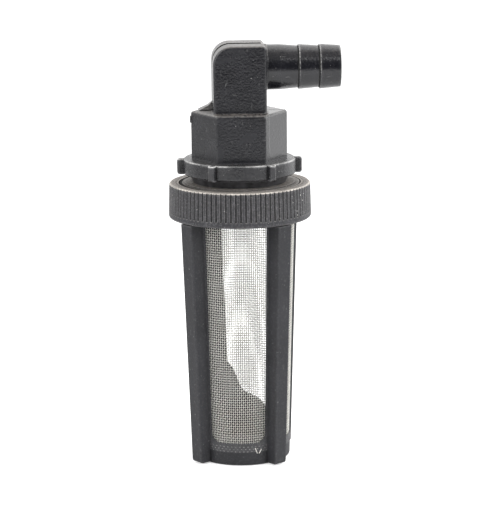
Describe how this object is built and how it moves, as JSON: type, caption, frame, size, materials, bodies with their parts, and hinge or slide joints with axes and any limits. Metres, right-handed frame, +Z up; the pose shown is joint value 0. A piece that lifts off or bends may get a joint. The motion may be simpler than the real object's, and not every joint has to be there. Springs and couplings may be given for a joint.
{
  "type": "mesh filter screen",
  "caption": "Suction strainer: a tapered moulded basket with a woven mesh sleeve, closed by a lid, a knurled union nut and an elbow hose fitting",
  "frame": {"origin": "middle of the basket's flat underside", "axes": "+Z up the common axis of basket, nuts and lid; +X along the hose tail, pointing away from the elbow; -Y toward the viewer of the picture"},
  "size_m": [0.0785, 0.0652, 0.1918],
  "materials": {
    "basket_plastic": "matte moulded plastic",
    "mesh_wire": "woven stainless wire",
    "gasket_rubber": "matt black rubber",
    "lid_plastic": "dusty moulded plastic",
    "ring_plastic": "knurled moulded plastic, dusty on top",
    "fitting_plastic": "satin moulded plastic"
  },
  "bodies": {
    "root": {"basket_frame": "basket_plastic", "mesh_sleeve": "mesh_wire", "lid_gasket": "gasket_rubber", "lid": "lid_plastic", "union_nut": "ring_plastic", "cone_gasket": "gasket_rubber", "lock_nut": "fitting_plastic", "elbow_fitting": "fitting_plastic"}
  },
  "joints": []
}
